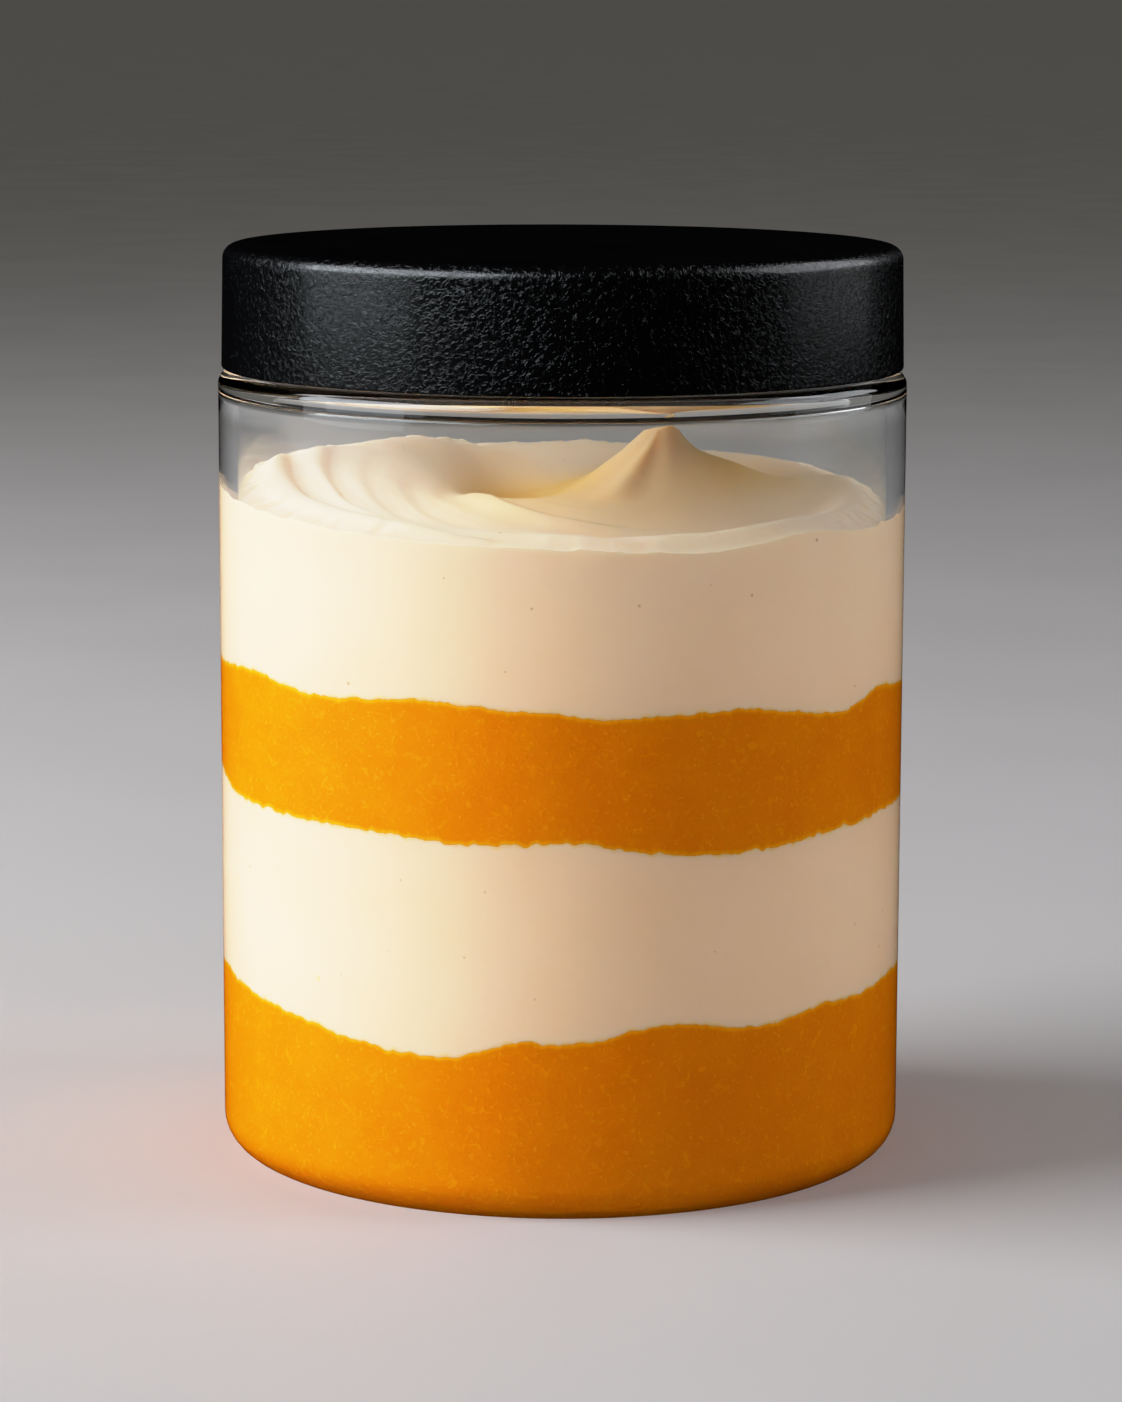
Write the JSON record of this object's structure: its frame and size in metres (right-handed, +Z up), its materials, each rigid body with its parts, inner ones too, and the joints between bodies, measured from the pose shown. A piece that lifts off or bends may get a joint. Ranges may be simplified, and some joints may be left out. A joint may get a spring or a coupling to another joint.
{
  "type": "layered mango and cream dessert in a lidded jar",
  "caption": "Layered mango and cream dessert with a swirled, peaked top, filled into a clear straight-sided jar under a black screw lid.",
  "frame": {"origin": "middle of the jar's base, on the surface it stands on", "axes": "+Z up along the jar's axis; the side shown in the picture looks along -Y"},
  "size_m": [0.074, 0.074, 0.0984],
  "materials": {
    "glass": "clear, polished",
    "black_plastic": "satin with a very fine moulded grain",
    "mango": "smooth set fruit puree, wet against the glass",
    "cream": "thick ivory cream with a soft sheen"
  },
  "bodies": {
    "root": {"jar": "glass", "lid": "black_plastic", "mango_bottom": "mango", "cream_lower": "cream", "mango_upper": "mango", "cream_top": "cream"}
  },
  "joints": []
}
